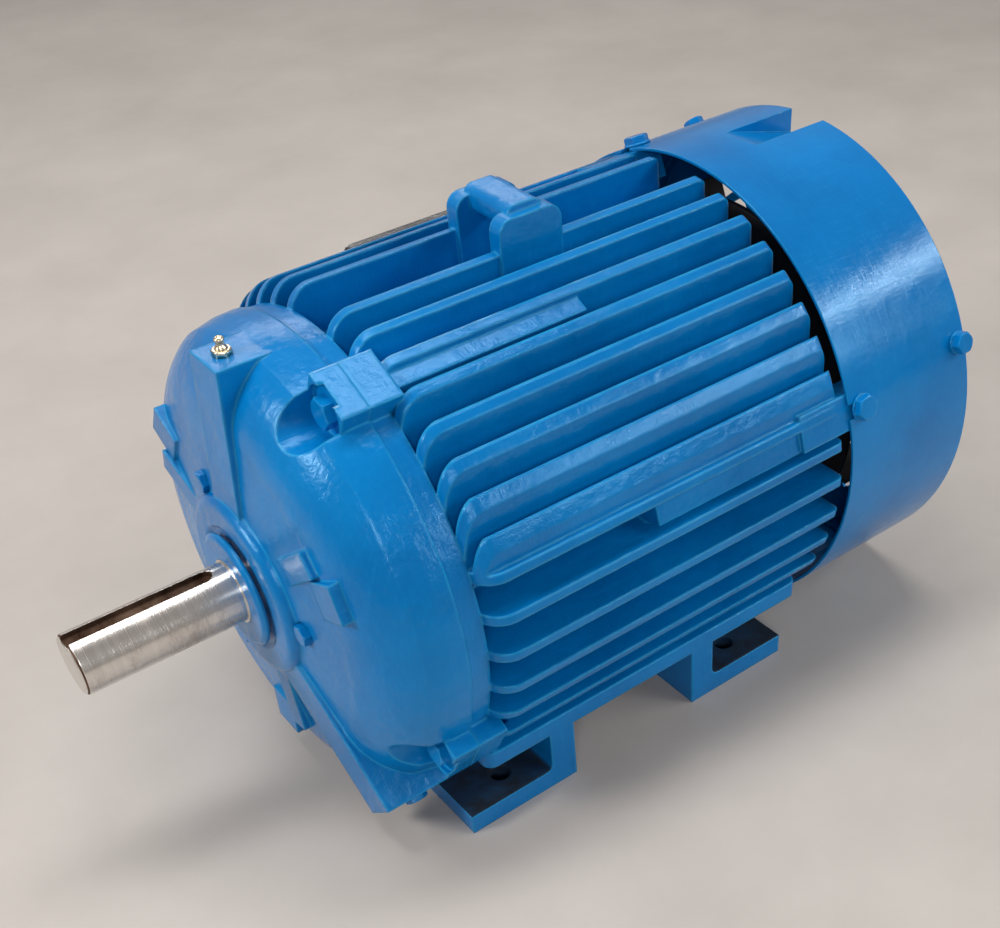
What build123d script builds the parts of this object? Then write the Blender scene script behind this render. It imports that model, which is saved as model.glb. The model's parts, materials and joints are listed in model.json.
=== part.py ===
from build123d import *
import math
import os

# Three-phase cage motor, frame size 160M, foot mounted, fan cooled.
# All lengths are in millimetres. The origin is on the floor, in the middle of the
# four foot holes. X runs along the shaft from the drive end (-X) to the fan end (+X),
# Y points away from the side that is seen first, and Z is up.
# Angles round the shaft are seen from the drive end: 0 points to -Y and 90 is up.

# Standard mounting sizes
shaft_height = 160
foot_spacing_x = 210
foot_spacing_y = 254
foot_hole_diameter = 14.5
shoulder_to_foot_hole = 108
shaft_end_diameter = 42
shaft_end_length = 110
key_width = 12
keyway_depth = 5
keyway_length = 100

# Clearances
fit_gap = 0.05
seat_gap = 0.3
air_gap = 0.6

# Finned frame
core_radius = 130
barrel_wall = 11
barrel_front = -138
barrel_rear = 165
register_radius = 134
register_depth = 8
collar_radius = 163
collar_length = 15
fin_circle_radius = 176
fin_front = -124
fin_rear = 172
fin_front_corner = 18
fin_rear_corner = 5
fin_tip_thickness = 6
fin_draft = 1.2
upper_fin_count = 8
upper_fin_first_angle = 82
upper_fin_step = 8
side_fin_count = 6
side_fin_first_angle = 18.4
side_fin_step = 9.1

# Feet, and the rail that runs along each side above them
foot_thickness = 16
foot_outer_y = 149
foot_inner_y = 95
foot_hole_to_end = 38.5
foot_hole_to_web = 50.5
foot_web_thickness = 20
foot_wall_thickness = 12
foot_pocket_rounding = 6
rail_bottom = 49
rail_top = 62
rail_front = -126
rail_rear = 160
rail_corner = 8

# Lifting eye
eye_x = 24
eye_leg_top = 196
eye_leg_width = 48
eye_leg_thickness = 12
eye_leg_rounding = 10
eye_gap = 36
eye_crown_top = 201
eye_crown_width = 27
eye_crown_thickness = 18
eye_crown_rounding = 7

# Shields, bearings and the bolts that hold them
bearing_bore = 45
bearing_outside = 100
bearing_width = 25
ring_wall = 10.5
roller_diameter = 13
roller_length = 15
roller_count = 12
groove_depth = 4
drive_bearing_x = -198.5
fan_bearing_x = 172
shield_rim_radius = 165
ear_bolt_radius = 161
ear_seat_x = -153
ear_width = 36
ear_reach = 176
ear_floor_gap = 3
drive_bolt_angles = (64, 156, 244, 332)
shield_bolt = 12
shield_bolt_flats = 18
shield_bolt_head = 7.5
cap_bolt_radius = 72
cap_bolt_angles = (2, 122, 242)
cap_bolt = 8
cap_bolt_flats = 13
cap_bolt_head = 5.5
hub_ring_radius = 62
hub_face_x = -207
hub_boss_radius = 78
cap_thickness = 12
grease_boss_width = 35
grease_boss_top = 162
relief_boss_angle = -49
relief_boss_top = 175
relief_boss_rear = -146
nipple_x = -181
relief_x = -166
pad_angles = (24, 147, 268)
pad_inner = 106
pad_outer = 134
pad_width = 26
pad_front = -197
land_lead = 12
land_width = 18
fan_bolt_angles = (45, 135, 225, 315)
fan_bolt_radius = 138
fan_shield_rim_radius = 146
fan_shield_bolt = 10
fan_shield_bolt_flats = 16
fan_shield_bolt_head = 6.5

# Rotor, winding and fan
core_length = 180
stator_bore_radius = 85
stator_slots = 36
stator_slot_width = 8
stator_slot_depth = 22
winding_overhang = 42
rotor_bars = 28
rotor_bar_width = 5
rotor_bar_depth = 16
end_ring_width = 14
core_seat_diameter = 60
bearing_shoulder_diameter = 52
fan_seat_diameter = 38
fan_hub_x = 222
fan_hub_length = 36
fan_hub_radius = 30
fan_radius = 138
fan_disc_radius = 132
fan_disc_thickness = 4
fan_blades = 8
fan_blade_thickness = 4
slinger_radius = 40
slinger_thickness = 4.5

# Fan cowl and guard
cowl_radius = 178
cowl_sheet = 2
cowl_front = 178
cowl_rear = 297
cowl_floor_gap = 5
cowl_lip = 22
recess_front = 228
recess_half_width = 16
recess_drop = 18
cowl_bolt_angles = (16.5, 112, 206)
cowl_bolt_x = 190
cowl_bolt = 10
cowl_bolt_flats = 16
cowl_bolt_head = 6.5
cowl_lug_width = 26
cowl_lug_top = 175.5
cowl_lug_rear = 199
guard_depth = 14
guard_bar_pitch = 21
guard_bar_width = 7
guard_bars = 6
guard_spokes = 6
guard_screw_x = 290
guard_screw_angles = (20, 130, 215)
guard_screw = 8
guard_screw_flats = 14
guard_screw_head = 8

# Terminal box
box_x = 84
box_z_above_axis = 20
box_side = 112
box_wall = 5
box_seat_y = 180
box_depth = 54
gasket_thickness = 2
cover_depth = 12
cover_screw_inset = 10
entry_diameter = 32
entry_spacing = 42
entry_boss_wall = 4
lead_window = 50
terminal_spacing = 24
terminal_stud = 6

barrel_radius = core_radius + barrel_wall
shoulder_x = -foot_spacing_x / 2 - shoulder_to_foot_hole
tip_x = shoulder_x - shaft_end_length
shaft_axis = Axis((0, 0, shaft_height), (1, 0, 0))

os.makedirs("parts", exist_ok=True)


def section(x):
    """The plane square to the shaft at x, seen from the drive end."""
    return Plane(origin=(x, 0, shaft_height), x_dir=(0, -1, 0), z_dir=(-1, 0, 0))


def radial_plane(angle):
    """The plane through the shaft at an angle: local x along the shaft, local y outwards."""
    tilt = math.radians(angle)
    return Plane(
        origin=(0, 0, shaft_height), x_dir=(1, 0, 0), z_dir=(0, -math.sin(tilt), -math.cos(tilt))
    )


def around(x, radius, angle):
    """The point at x, at a radius and an angle round the shaft."""
    tilt = math.radians(angle)
    return (x, -radius * math.cos(tilt), shaft_height + radius * math.sin(tilt))


def facing_drive(x, radius, angle):
    """A seat for a bolt that is put in from the drive end."""
    return Plane(origin=around(x, radius, angle), z_dir=(-1, 0, 0))


def facing_fan(x, radius, angle):
    """A seat for a bolt that is put in from the fan end."""
    return Plane(origin=around(x, radius, angle), z_dir=(1, 0, 0))


def facing_out(x, radius, angle):
    """A seat for a screw that is put in from outside, towards the shaft."""
    tilt = math.radians(angle)
    return Plane(
        origin=around(x, radius, angle), x_dir=(1, 0, 0), z_dir=(0, -math.cos(tilt), math.sin(tilt))
    )


def tube(x_start, x_end, outer, inner=0, mode=Mode.ADD):
    """A round bar or tube about the shaft axis, from x_start to x_end."""
    with BuildSketch(section(x_end)) as rings:
        Circle(outer)
        if inner > 0:
            Circle(inner, mode=Mode.SUBTRACT)
    extrude(rings.sketch, amount=x_end - x_start, mode=mode)


def turned(points, mode=Mode.ADD):
    """A solid turned about the shaft axis from a closed outline of (x, radius) points."""
    with BuildSketch(radial_plane(90)) as outline:
        with BuildLine():
            Polyline(*points, close=True)
        make_face()
    revolve(outline.sketch, axis=shaft_axis, mode=mode)


def radial_block(angle, x_start, x_end, inner, outer, width, mode=Mode.ADD):
    """A straight block that stands outwards at an angle, from one radius to another."""
    with BuildSketch(section(x_end)) as footprint:
        with PolarLocations((inner + outer) / 2, 1, start_angle=angle):
            Rectangle(outer - inner, width)
    extrude(footprint.sketch, amount=x_end - x_start, mode=mode)


def clear_of_floor():
    """Cuts flat what would reach the floor, under the lowest of the ears."""
    with BuildSketch(Plane.XY.offset(ear_floor_gap)) as below:
        Rectangle(4 * shaft_height, 4 * shaft_height)
    extrude(below.sketch, amount=-4 * ear_floor_gap, mode=Mode.SUBTRACT)


def round_hole(seat, diameter, depth):
    """A blind hole sunk into the part from its seat."""
    with BuildSketch(seat) as mouth:
        Circle(diameter / 2)
    extrude(mouth.sketch, amount=-depth, mode=Mode.SUBTRACT)


def hex_bolt(seat, thread, flats, head, length):
    """A hex-head bolt whose head stands on its seat."""
    with BuildSketch(seat) as hexagon:
        RegularPolygon(flats / 2, 6, major_radius=False)
    extrude(hexagon.sketch, amount=head)
    with BuildSketch(seat) as shank:
        Circle(thread / 2)
    extrude(shank.sketch, amount=-length)


def save(builder, name):
    """Label a finished sub-part and write it to its own file."""
    builder.part.label = name
    export_step(builder.part, f"parts/{name}.step")


# Finned frame
# The fins stand upright over the top and level down the sides, as the two halves of
# the mould draw them, and their tips share one circle. The fin at the first side
# angle is a shelf that also carries the upright fins outside the barrel.
fin_length = fin_rear - fin_front
fin_root_radius = barrel_radius - barrel_wall / 2
shelf_height = fin_circle_radius * math.sin(math.radians(side_fin_first_angle))


def fin(root_x, root_y, height, rotation):
    """One fin of the frame's section, thicker at its root by the draft of the mould."""
    root_thickness = fin_tip_thickness + 2 * height * math.tan(math.radians(fin_draft))
    with Locations((root_x, root_y)):
        Trapezoid(
            root_thickness, height, 90 - fin_draft, rotation=rotation, align=(Align.CENTER, Align.MIN)
        )


def barrel_rise(offset):
    """How far the barrel's wall stands from its middle plane at an offset."""
    return math.sqrt(max(fin_root_radius**2 - offset**2, 0))


drive_lug_length = 22
rib_rear = 24
rib_width = 20
rib_top = 172
cowl_rib_front = 10
cowl_rib_short_front = 120
box_pad_side = 96

with BuildPart() as frame:
    with BuildSketch(section(fin_rear)):
        for step in range(upper_fin_count):
            angle = math.radians(upper_fin_first_angle - upper_fin_step * step)
            offset = fin_circle_radius * math.cos(angle)
            root = max(shelf_height, barrel_rise(offset))
            for side in (1, -1):
                fin(side * offset, root, fin_circle_radius * math.sin(angle) - root + 3, 0)
        for step in range(side_fin_count):
            angle = math.radians(side_fin_first_angle - side_fin_step * step)
            level = fin_circle_radius * math.sin(angle)
            root = barrel_rise(level)
            for side in (1, -1):
                fin(side * root, level, fin_circle_radius * math.cos(angle) - root + 3, -90 * side)
    extrude(amount=fin_length)
    with BuildSketch(radial_plane(90)) as envelope:
        with Locations(((fin_front + fin_rear) / 2, fin_circle_radius / 2)):
            Rectangle(fin_length, fin_circle_radius)
        rim = envelope.vertices().group_by(Axis.Y)[-1].sort_by(Axis.X)
        fillet(rim[0], radius=fin_front_corner)
        rim = envelope.vertices().group_by(Axis.Y)[-1].sort_by(Axis.X)
        fillet(rim[-1], radius=fin_rear_corner)
    revolve(axis=shaft_axis, mode=Mode.INTERSECT)

    tube(barrel_front, barrel_rear, barrel_radius)
    tube(barrel_front, barrel_front + collar_length, collar_radius)

    for angle in drive_bolt_angles:
        radial_block(
            angle, barrel_front, barrel_front + drive_lug_length, fin_root_radius, ear_reach, ear_width
        )
    clear_of_floor()
    for angle in drive_bolt_angles[:2]:
        radial_block(angle, barrel_front, rib_rear, fin_root_radius, rib_top, rib_width)
    for number, angle in enumerate(cowl_bolt_angles):
        rib_front = cowl_rib_front if number < 2 else cowl_rib_short_front
        radial_block(angle, rib_front, barrel_rear, fin_root_radius, rib_top, cowl_lug_width)
        radial_block(
            angle, barrel_rear - 30, cowl_lug_rear, fan_shield_rim_radius + 6, cowl_lug_top, cowl_lug_width
        )
    for angle in fan_bolt_angles:
        radial_block(angle, barrel_rear - 40, barrel_rear, fin_root_radius - 5, fan_bolt_radius + 12, 26)

    for side in (1, -1):
        for end in (1, -1):
            web_x = end * (foot_spacing_x / 2 - foot_hole_to_web)
            end_x = end * (foot_spacing_x / 2 + foot_hole_to_end)
            pocket_x = web_x + end * foot_web_thickness
            with BuildSketch(Plane.XZ.offset(side * foot_outer_y)) as foot_outline:
                with BuildLine():
                    Polyline(
                        (end_x, 0), (web_x, 0), (web_x, rail_top), (pocket_x, rail_top),
                        (pocket_x, foot_thickness), (end_x, foot_thickness),
                        close=True,
                    )
                make_face()
                corners = foot_outline.vertices().sort_by_distance((pocket_x, foot_thickness))
                fillet(corners[0], radius=foot_pocket_rounding)
            extrude(amount=side * (foot_inner_y - foot_outer_y))
            wall_x = max(end_x, barrel_front)
            with BuildSketch(Plane.XY):
                with Locations(((web_x + wall_x) / 2, side * (foot_inner_y + foot_wall_thickness / 2))):
                    Rectangle(abs(wall_x - web_x), foot_wall_thickness)
            extrude(amount=rail_top)
        with BuildSketch(Plane.XY.offset(rail_bottom)) as rail:
            with Locations(((rail_front + rail_rear) / 2, side * (foot_outer_y + foot_inner_y) / 2)):
                Rectangle(rail_rear - rail_front, foot_outer_y - foot_inner_y)
            outside = rail.vertices().group_by(Axis.Y)[-1 if side > 0 else 0]
            fillet(outside, radius=rail_corner)
        extrude(amount=rail_top - rail_bottom)

    tube(barrel_rear, fin_rear, fan_bolt_radius + 14, mode=Mode.SUBTRACT)

    for side in (1, -1):
        with BuildSketch(radial_plane(90).offset(side * eye_gap / 2)) as leg:
            with Locations((eye_x, (fin_root_radius + eye_leg_top) / 2)):
                Rectangle(eye_leg_width, eye_leg_top - fin_root_radius)
            fillet(leg.vertices().group_by(Axis.Y)[-1], radius=eye_leg_rounding)
        extrude(amount=side * eye_leg_thickness)
    with BuildSketch(radial_plane(90)):
        with Locations((eye_x, eye_crown_top - eye_crown_thickness / 2)):
            RectangleRounded(eye_crown_width, eye_crown_thickness, eye_crown_rounding)
    extrude(amount=eye_gap / 2 + 6, both=True)

    with BuildSketch(Plane.XZ.offset(-box_seat_y)):
        with Locations((box_x, shaft_height + box_z_above_axis)):
            Rectangle(box_pad_side, box_pad_side)
    extrude(amount=box_seat_y - fin_root_radius * 0.7)
    with BuildSketch(Plane.XZ.offset(-box_seat_y)):
        with Locations((box_x, shaft_height + box_z_above_axis)):
            RectangleRounded(lead_window, lead_window, 6)
    extrude(amount=box_seat_y - stator_bore_radius, mode=Mode.SUBTRACT)

    tube(barrel_front, barrel_rear, core_radius, mode=Mode.SUBTRACT)
    tube(barrel_front, barrel_front + register_depth, register_radius, mode=Mode.SUBTRACT)
    tube(barrel_rear - register_depth, barrel_rear, register_radius, mode=Mode.SUBTRACT)
    for angle in drive_bolt_angles:
        round_hole(facing_drive(barrel_front, ear_bolt_radius, angle), shield_bolt + 2 * fit_gap, 32)
    for angle in fan_bolt_angles:
        round_hole(facing_fan(barrel_rear, fan_bolt_radius, angle), fan_shield_bolt + 2 * fit_gap, 28)
    for angle in cowl_bolt_angles:
        round_hole(facing_out(cowl_bolt_x, cowl_lug_top, angle), cowl_bolt + 2 * fit_gap, 16)
    with Locations(*[
        (end * foot_spacing_x / 2, side * foot_spacing_y / 2, foot_thickness)
        for end in (1, -1) for side in (1, -1)
    ]):
        Hole(foot_hole_diameter / 2, depth=foot_thickness)
save(frame, "frame")

# Stator core and winding
slot_outer = stator_bore_radius + stator_slot_depth
coil_clearance = 0.3
coil_inner = stator_bore_radius + 2
coil_outer = slot_outer - coil_clearance
overhang_start = core_length / 2 + 6
overhang_end = core_length / 2 + winding_overhang
overhang_outer = core_radius - 7

with BuildPart() as stator_core:
    with BuildSketch(section(core_length / 2)):
        Circle(core_radius - fit_gap)
        Circle(stator_bore_radius, mode=Mode.SUBTRACT)
        with PolarLocations(stator_bore_radius, stator_slots):
            Rectangle(2 * stator_slot_depth, stator_slot_width, mode=Mode.SUBTRACT)
    extrude(amount=core_length)
save(stator_core, "stator_core")

with BuildPart() as stator_winding:
    with BuildSketch(section(overhang_start)):
        with PolarLocations((coil_inner + coil_outer) / 2, stator_slots):
            Rectangle(coil_outer - coil_inner, stator_slot_width - 2 * coil_clearance)
    extrude(amount=2 * overhang_start)
    for end in (1, -1):
        turned(
            [
                (end * overhang_start, coil_inner - 0.5),
                (end * overhang_start, overhang_outer - 4),
                (end * (overhang_start + 4), overhang_outer),
                (end * (overhang_end - 8), overhang_outer),
                (end * overhang_end, overhang_outer - 9),
                (end * overhang_end, coil_inner + 9),
                (end * (overhang_end - 8), coil_inner - 0.5),
            ]
        )
save(stator_winding, "stator_winding")

# Drive-end shield
# A dome with a raised hub ring, two drilled bosses for fresh and spent grease, three
# jacking pads and four ears, each with a pocket for its bolt.
drive_bearing_end = drive_bearing_x + bearing_width
bearing_seat_radius = bearing_outside / 2 + fit_gap
shaft_hole_radius = bearing_bore / 2 + 0.5
grease_space_x = drive_bearing_x - 3
dome_foot = (-194, 112)
dome_shoulder = (-184.5, 143)
dome_side = (-166, 161)
ear_pocket_radius = 17
cap_bolt_seat_x = -198
cap_bolt_spot = 8.5

with BuildPart() as drive_end_shield:
    with BuildSketch(radial_plane(90)):
        with BuildLine():
            Polyline(
                (barrel_front, 0),
                (hub_face_x + 3, 0),
                (hub_face_x + 3, slinger_radius + 1),
                (hub_face_x, slinger_radius + 5),
                (hub_face_x, hub_ring_radius - 5),
            )
            ThreePointArc(
                (hub_face_x, hub_ring_radius - 5),
                (hub_face_x + 2, hub_ring_radius),
                (hub_face_x + 7, hub_ring_radius + 2.5),
            )
            Line((hub_face_x + 7, hub_ring_radius + 2.5), dome_foot)
            ThreePointArc(dome_foot, dome_shoulder, dome_side)
            Polyline(dome_side, (-150, shield_rim_radius - 0.5), (barrel_front, shield_rim_radius))
            Line((barrel_front, shield_rim_radius), (barrel_front, 0))
        make_face()
    revolve(axis=shaft_axis)
    for angle, top, front, rear in (
        (90, grease_boss_top, -194, barrel_front),
        (relief_boss_angle, relief_boss_top, -193, relief_boss_rear),
    ):
        with BuildSketch(radial_plane(angle)):
            with BuildLine():
                Polyline(
                    (hub_face_x + 4, hub_ring_radius - 4),
                    (front, top),
                    (rear, top),
                    (rear, hub_ring_radius - 4),
                    close=True,
                )
            make_face()
        extrude(amount=grease_boss_width / 2, both=True)
    for angle in pad_angles:
        radial_block(angle, pad_front, -175, pad_inner, pad_outer, pad_width)
        radial_block(angle + land_lead, pad_front - 2, -185, hub_ring_radius - 4, pad_inner + 12, land_width)
    for angle in drive_bolt_angles:
        radial_block(angle, ear_seat_x - 4, barrel_front, register_radius, ear_reach, ear_width)
        with BuildSketch(facing_drive(ear_seat_x - 60, ear_bolt_radius, angle)):
            Circle(ear_pocket_radius)
        extrude(amount=-60, mode=Mode.SUBTRACT)
    clear_of_floor()
    for angle in cap_bolt_angles:
        with BuildSketch(facing_drive(hub_face_x - 5, cap_bolt_radius, angle)):
            Circle(cap_bolt_spot)
        extrude(amount=hub_face_x - 5 - cap_bolt_seat_x, mode=Mode.SUBTRACT)
    tube(barrel_front, barrel_front + register_depth - 1, register_radius - fit_gap, register_radius - 8)
    turned(
        [
            (barrel_front + register_depth, 0),
            (barrel_front + register_depth, register_radius - 8),
            (-160, register_radius - 8),
            (-180, 102),
            (-182, hub_boss_radius),
            (drive_bearing_end + 1.5, hub_boss_radius),
            (drive_bearing_end + 1.5, 0),
        ],
        mode=Mode.SUBTRACT,
    )
    tube(drive_bearing_x, barrel_front, bearing_seat_radius, mode=Mode.SUBTRACT)
    tube(grease_space_x, drive_bearing_x, bearing_outside / 2 - 8, mode=Mode.SUBTRACT)
    tube(hub_face_x, drive_bearing_x, shaft_hole_radius, mode=Mode.SUBTRACT)
    for angle in drive_bolt_angles:
        round_hole(facing_drive(ear_seat_x, ear_bolt_radius, angle), shield_bolt + 1.5, 40)
    for angle in cap_bolt_angles:
        round_hole(facing_drive(cap_bolt_seat_x, cap_bolt_radius, angle), cap_bolt + 1, 40)
    with BuildSketch(Plane.XY.offset(shaft_height + grease_boss_top)):
        with Locations((nipple_x, 0)):
            Circle(4)
    extrude(amount=-14, mode=Mode.SUBTRACT)
    round_hole(facing_out(relief_x, relief_boss_top, relief_boss_angle), 10 + 2 * fit_gap, 14)
save(drive_end_shield, "drive_end_shield")

with BuildPart() as drive_end_shield_bolts:
    for angle in drive_bolt_angles:
        hex_bolt(
            facing_drive(ear_seat_x, ear_bolt_radius, angle),
            shield_bolt, shield_bolt_flats, shield_bolt_head, 38,
        )
save(drive_end_shield_bolts, "drive_end_shield_bolts")

# Inner bearing caps and the bolts that pull them up against the shields
cap_bore_radius = bearing_shoulder_diameter / 2 + 0.4


def bearing_cap(seat_x, direction):
    """A flanged ring that closes the inner side of a bearing and holds its outer ring."""
    lip = seat_x - direction * (1.5 - seat_gap)
    flange = seat_x + direction * cap_thickness
    tube(min(seat_x, flange), max(seat_x, flange), hub_boss_radius, cap_bore_radius)
    tube(min(seat_x, lip), max(seat_x, lip), bearing_seat_radius - fit_gap, bearing_outside / 2 - 9)


with BuildPart() as drive_end_bearing_cap:
    bearing_cap(drive_bearing_end + 1.5, 1)
    for angle in cap_bolt_angles:
        round_hole(
            facing_drive(drive_bearing_end + 1.5, cap_bolt_radius, angle), cap_bolt + 2 * fit_gap, 20
        )
save(drive_end_bearing_cap, "drive_end_bearing_cap")

with BuildPart() as drive_end_cap_bolts:
    for angle in cap_bolt_angles:
        hex_bolt(
            facing_drive(cap_bolt_seat_x, cap_bolt_radius, angle),
            cap_bolt, cap_bolt_flats, cap_bolt_head,
            drive_bearing_end + 1.5 + cap_thickness - cap_bolt_seat_x,
        )
save(drive_end_cap_bolts, "drive_end_cap_bolts")

# Fan-end shield
fan_bearing_end = fan_bearing_x + bearing_width
fan_hub_face = fan_bearing_end + 8
fan_hub_step_radius = 84
fan_shield_seat = barrel_rear + 10

with BuildPart() as fan_end_shield:
    turned(
        [
            (barrel_rear, 0),
            (fan_hub_face, 0),
            (fan_hub_face, fan_hub_step_radius - 3),
            (fan_hub_face - 3, fan_hub_step_radius),
            (barrel_rear + 24, fan_hub_step_radius),
            (fan_shield_seat, 116),
            (fan_shield_seat, fan_shield_rim_radius + 4),
            (barrel_rear, fan_shield_rim_radius + 4),
        ]
    )
    tube(barrel_rear - register_depth + 1, barrel_rear, register_radius - fit_gap, register_radius - 8)
    turned(
        [
            (barrel_rear - register_depth, 0),
            (barrel_rear - register_depth, register_radius - 8),
            (barrel_rear, register_radius - 8),
            (barrel_rear + 4, 108),
            (barrel_rear + 14, hub_boss_radius),
            (fan_bearing_x - 1.5, hub_boss_radius),
            (fan_bearing_x - 1.5, 0),
        ],
        mode=Mode.SUBTRACT,
    )
    tube(barrel_rear, fan_bearing_end, bearing_seat_radius, mode=Mode.SUBTRACT)
    tube(fan_bearing_end, fan_hub_face - 3, bearing_outside / 2 - 8, mode=Mode.SUBTRACT)
    tube(fan_bearing_end, fan_hub_face, shaft_hole_radius, mode=Mode.SUBTRACT)
    for angle in fan_bolt_angles:
        round_hole(facing_fan(fan_shield_seat, fan_bolt_radius, angle), fan_shield_bolt + 1, 40)
    for angle in cap_bolt_angles:
        round_hole(facing_fan(fan_hub_face, cap_bolt_radius, angle), cap_bolt + 1, 60)
save(fan_end_shield, "fan_end_shield")

with BuildPart() as fan_end_shield_bolts:
    for angle in fan_bolt_angles:
        hex_bolt(
            facing_fan(fan_shield_seat, fan_bolt_radius, angle),
            fan_shield_bolt, fan_shield_bolt_flats, fan_shield_bolt_head, 32,
        )
save(fan_end_shield_bolts, "fan_end_shield_bolts")

with BuildPart() as fan_end_bearing_cap:
    bearing_cap(fan_bearing_x - 1.5, -1)
    for angle in cap_bolt_angles:
        round_hole(facing_fan(fan_bearing_x - 1.5, cap_bolt_radius, angle), cap_bolt + 2 * fit_gap, 20)
save(fan_end_bearing_cap, "fan_end_bearing_cap")

with BuildPart() as fan_end_cap_bolts:
    for angle in cap_bolt_angles:
        hex_bolt(
            facing_fan(fan_hub_face, cap_bolt_radius, angle),
            cap_bolt, cap_bolt_flats, cap_bolt_head, fan_hub_face - fan_bearing_x + 8,
        )
save(fan_end_cap_bolts, "fan_end_cap_bolts")

# Bearings: rollers in a cage carry the drive end, and a shielded ball bearing holds
# the fan end, where its two shields cover the tracks.
pitch_radius = (bearing_bore + bearing_outside) / 4
inner_land = bearing_bore / 2 + ring_wall
outer_land = bearing_outside / 2 - ring_wall
drive_bearing_middle = drive_bearing_x + bearing_width / 2
fan_bearing_middle = fan_bearing_x + bearing_width / 2


def bearing_ring(x_start, outer, inner):
    """A plain ring of a bearing, before its track is cut."""
    tube(x_start, x_start + bearing_width, outer, inner)


def roller_track(mode=Mode.SUBTRACT):
    """The straight track that the rollers run in, with its running clearance."""
    tube(
        drive_bearing_middle - roller_length / 2 - seat_gap,
        drive_bearing_middle + roller_length / 2 + seat_gap,
        pitch_radius + roller_diameter / 2 + seat_gap,
        pitch_radius - roller_diameter / 2 - seat_gap,
        mode=mode,
    )


def ball_track(land, depth):
    """A track cut into a ring's land, as deep as the balls need and chamfered both ways."""
    turned(
        [
            (fan_bearing_middle - 8, land),
            (fan_bearing_middle - 4, land + depth),
            (fan_bearing_middle + 4, land + depth),
            (fan_bearing_middle + 8, land),
        ],
        mode=Mode.SUBTRACT,
    )


with BuildPart() as drive_end_bearing_outer_ring:
    bearing_ring(drive_bearing_x, bearing_outside / 2, outer_land)
    roller_track()
save(drive_end_bearing_outer_ring, "drive_end_bearing_outer_ring")

with BuildPart() as drive_end_bearing_inner_ring:
    bearing_ring(drive_bearing_x, inner_land, bearing_bore / 2 + fit_gap)
    roller_track()
save(drive_end_bearing_inner_ring, "drive_end_bearing_inner_ring")

with BuildPart() as drive_end_bearing_cage:
    tube(
        drive_bearing_x + 1, drive_bearing_x + bearing_width - 1,
        outer_land - 1, inner_land + 1,
    )
    with BuildSketch(section(drive_bearing_middle + roller_length / 2 + 2 * fit_gap)):
        with PolarLocations(pitch_radius, roller_count):
            Rectangle(roller_diameter + 2, roller_diameter + 4 * fit_gap)
    extrude(amount=roller_length + 4 * fit_gap, mode=Mode.SUBTRACT)
save(drive_end_bearing_cage, "drive_end_bearing_cage")

with BuildPart() as drive_end_bearing_rollers:
    with BuildSketch(section(drive_bearing_middle + roller_length / 2)):
        with PolarLocations(pitch_radius, roller_count):
            Circle(roller_diameter / 2)
    extrude(amount=roller_length)
save(drive_end_bearing_rollers, "drive_end_bearing_rollers")

with BuildPart() as fan_end_bearing_outer_ring:
    bearing_ring(fan_bearing_x, bearing_outside / 2, outer_land)
    ball_track(outer_land, groove_depth)
save(fan_end_bearing_outer_ring, "fan_end_bearing_outer_ring")

with BuildPart() as fan_end_bearing_inner_ring:
    bearing_ring(fan_bearing_x, inner_land, bearing_bore / 2 + fit_gap)
    ball_track(inner_land, -groove_depth)
save(fan_end_bearing_inner_ring, "fan_end_bearing_inner_ring")

with BuildPart() as fan_end_bearing_shields:
    for shield_start in (fan_bearing_x + 0.5, fan_bearing_end - 1.5):
        tube(shield_start, shield_start + 1, outer_land - fit_gap, inner_land + seat_gap)
save(fan_end_bearing_shields, "fan_end_bearing_shields")

# Shaft
core_start = -core_length / 2
fan_shaft_end = fan_hub_x + fan_hub_length + 8
clip_x = fan_hub_x + fan_hub_length + 1
keyway_bottom = shaft_end_diameter / 2 - keyway_depth

with BuildPart() as shaft:
    turned(
        [
            (tip_x, 0),
            (tip_x, shaft_end_diameter / 2 - 2),
            (tip_x + 2, shaft_end_diameter / 2),
            (shoulder_x, shaft_end_diameter / 2),
            (shoulder_x, bearing_bore / 2),
            (drive_bearing_end, bearing_bore / 2),
            (drive_bearing_end, bearing_shoulder_diameter / 2),
            (core_start - 40, bearing_shoulder_diameter / 2),
            (core_start - 30, core_seat_diameter / 2),
            (-core_start + 10, core_seat_diameter / 2),
            (-core_start + 20, bearing_shoulder_diameter / 2),
            (fan_bearing_x, bearing_shoulder_diameter / 2),
            (fan_bearing_x, bearing_bore / 2),
            (fan_bearing_end + 12, bearing_bore / 2),
            (fan_bearing_end + 12, fan_seat_diameter / 2),
            (clip_x, fan_seat_diameter / 2),
            (clip_x, fan_seat_diameter / 2 - 1.2),
            (clip_x + 1.8, fan_seat_diameter / 2 - 1.2),
            (clip_x + 1.8, fan_seat_diameter / 2),
            (fan_shaft_end - 1.5, fan_seat_diameter / 2),
            (fan_shaft_end, fan_seat_diameter / 2 - 1.5),
            (fan_shaft_end, 0),
        ]
    )
    with BuildSketch(Plane.XY.offset(shaft_height + keyway_bottom)):
        with Locations((tip_x + (keyway_length - key_width / 2) / 2, 0)):
            Rectangle(keyway_length - key_width / 2, key_width)
        with Locations((tip_x + keyway_length - key_width / 2, 0)):
            Circle(key_width / 2)
    extrude(amount=keyway_depth + 1, mode=Mode.SUBTRACT)
    fan_key_length = fan_hub_length - 8
    with BuildSketch(Plane.XY.offset(shaft_height + fan_seat_diameter / 2 - 4)):
        with Locations((fan_hub_x + fan_hub_length / 2, 0)):
            Rectangle(fan_key_length, 8)
    extrude(amount=6, mode=Mode.SUBTRACT)
save(shaft, "shaft")

# Rotor core and cage
rotor_radius = stator_bore_radius - air_gap
bar_centre = rotor_radius - 1 - rotor_bar_depth / 2

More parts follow.
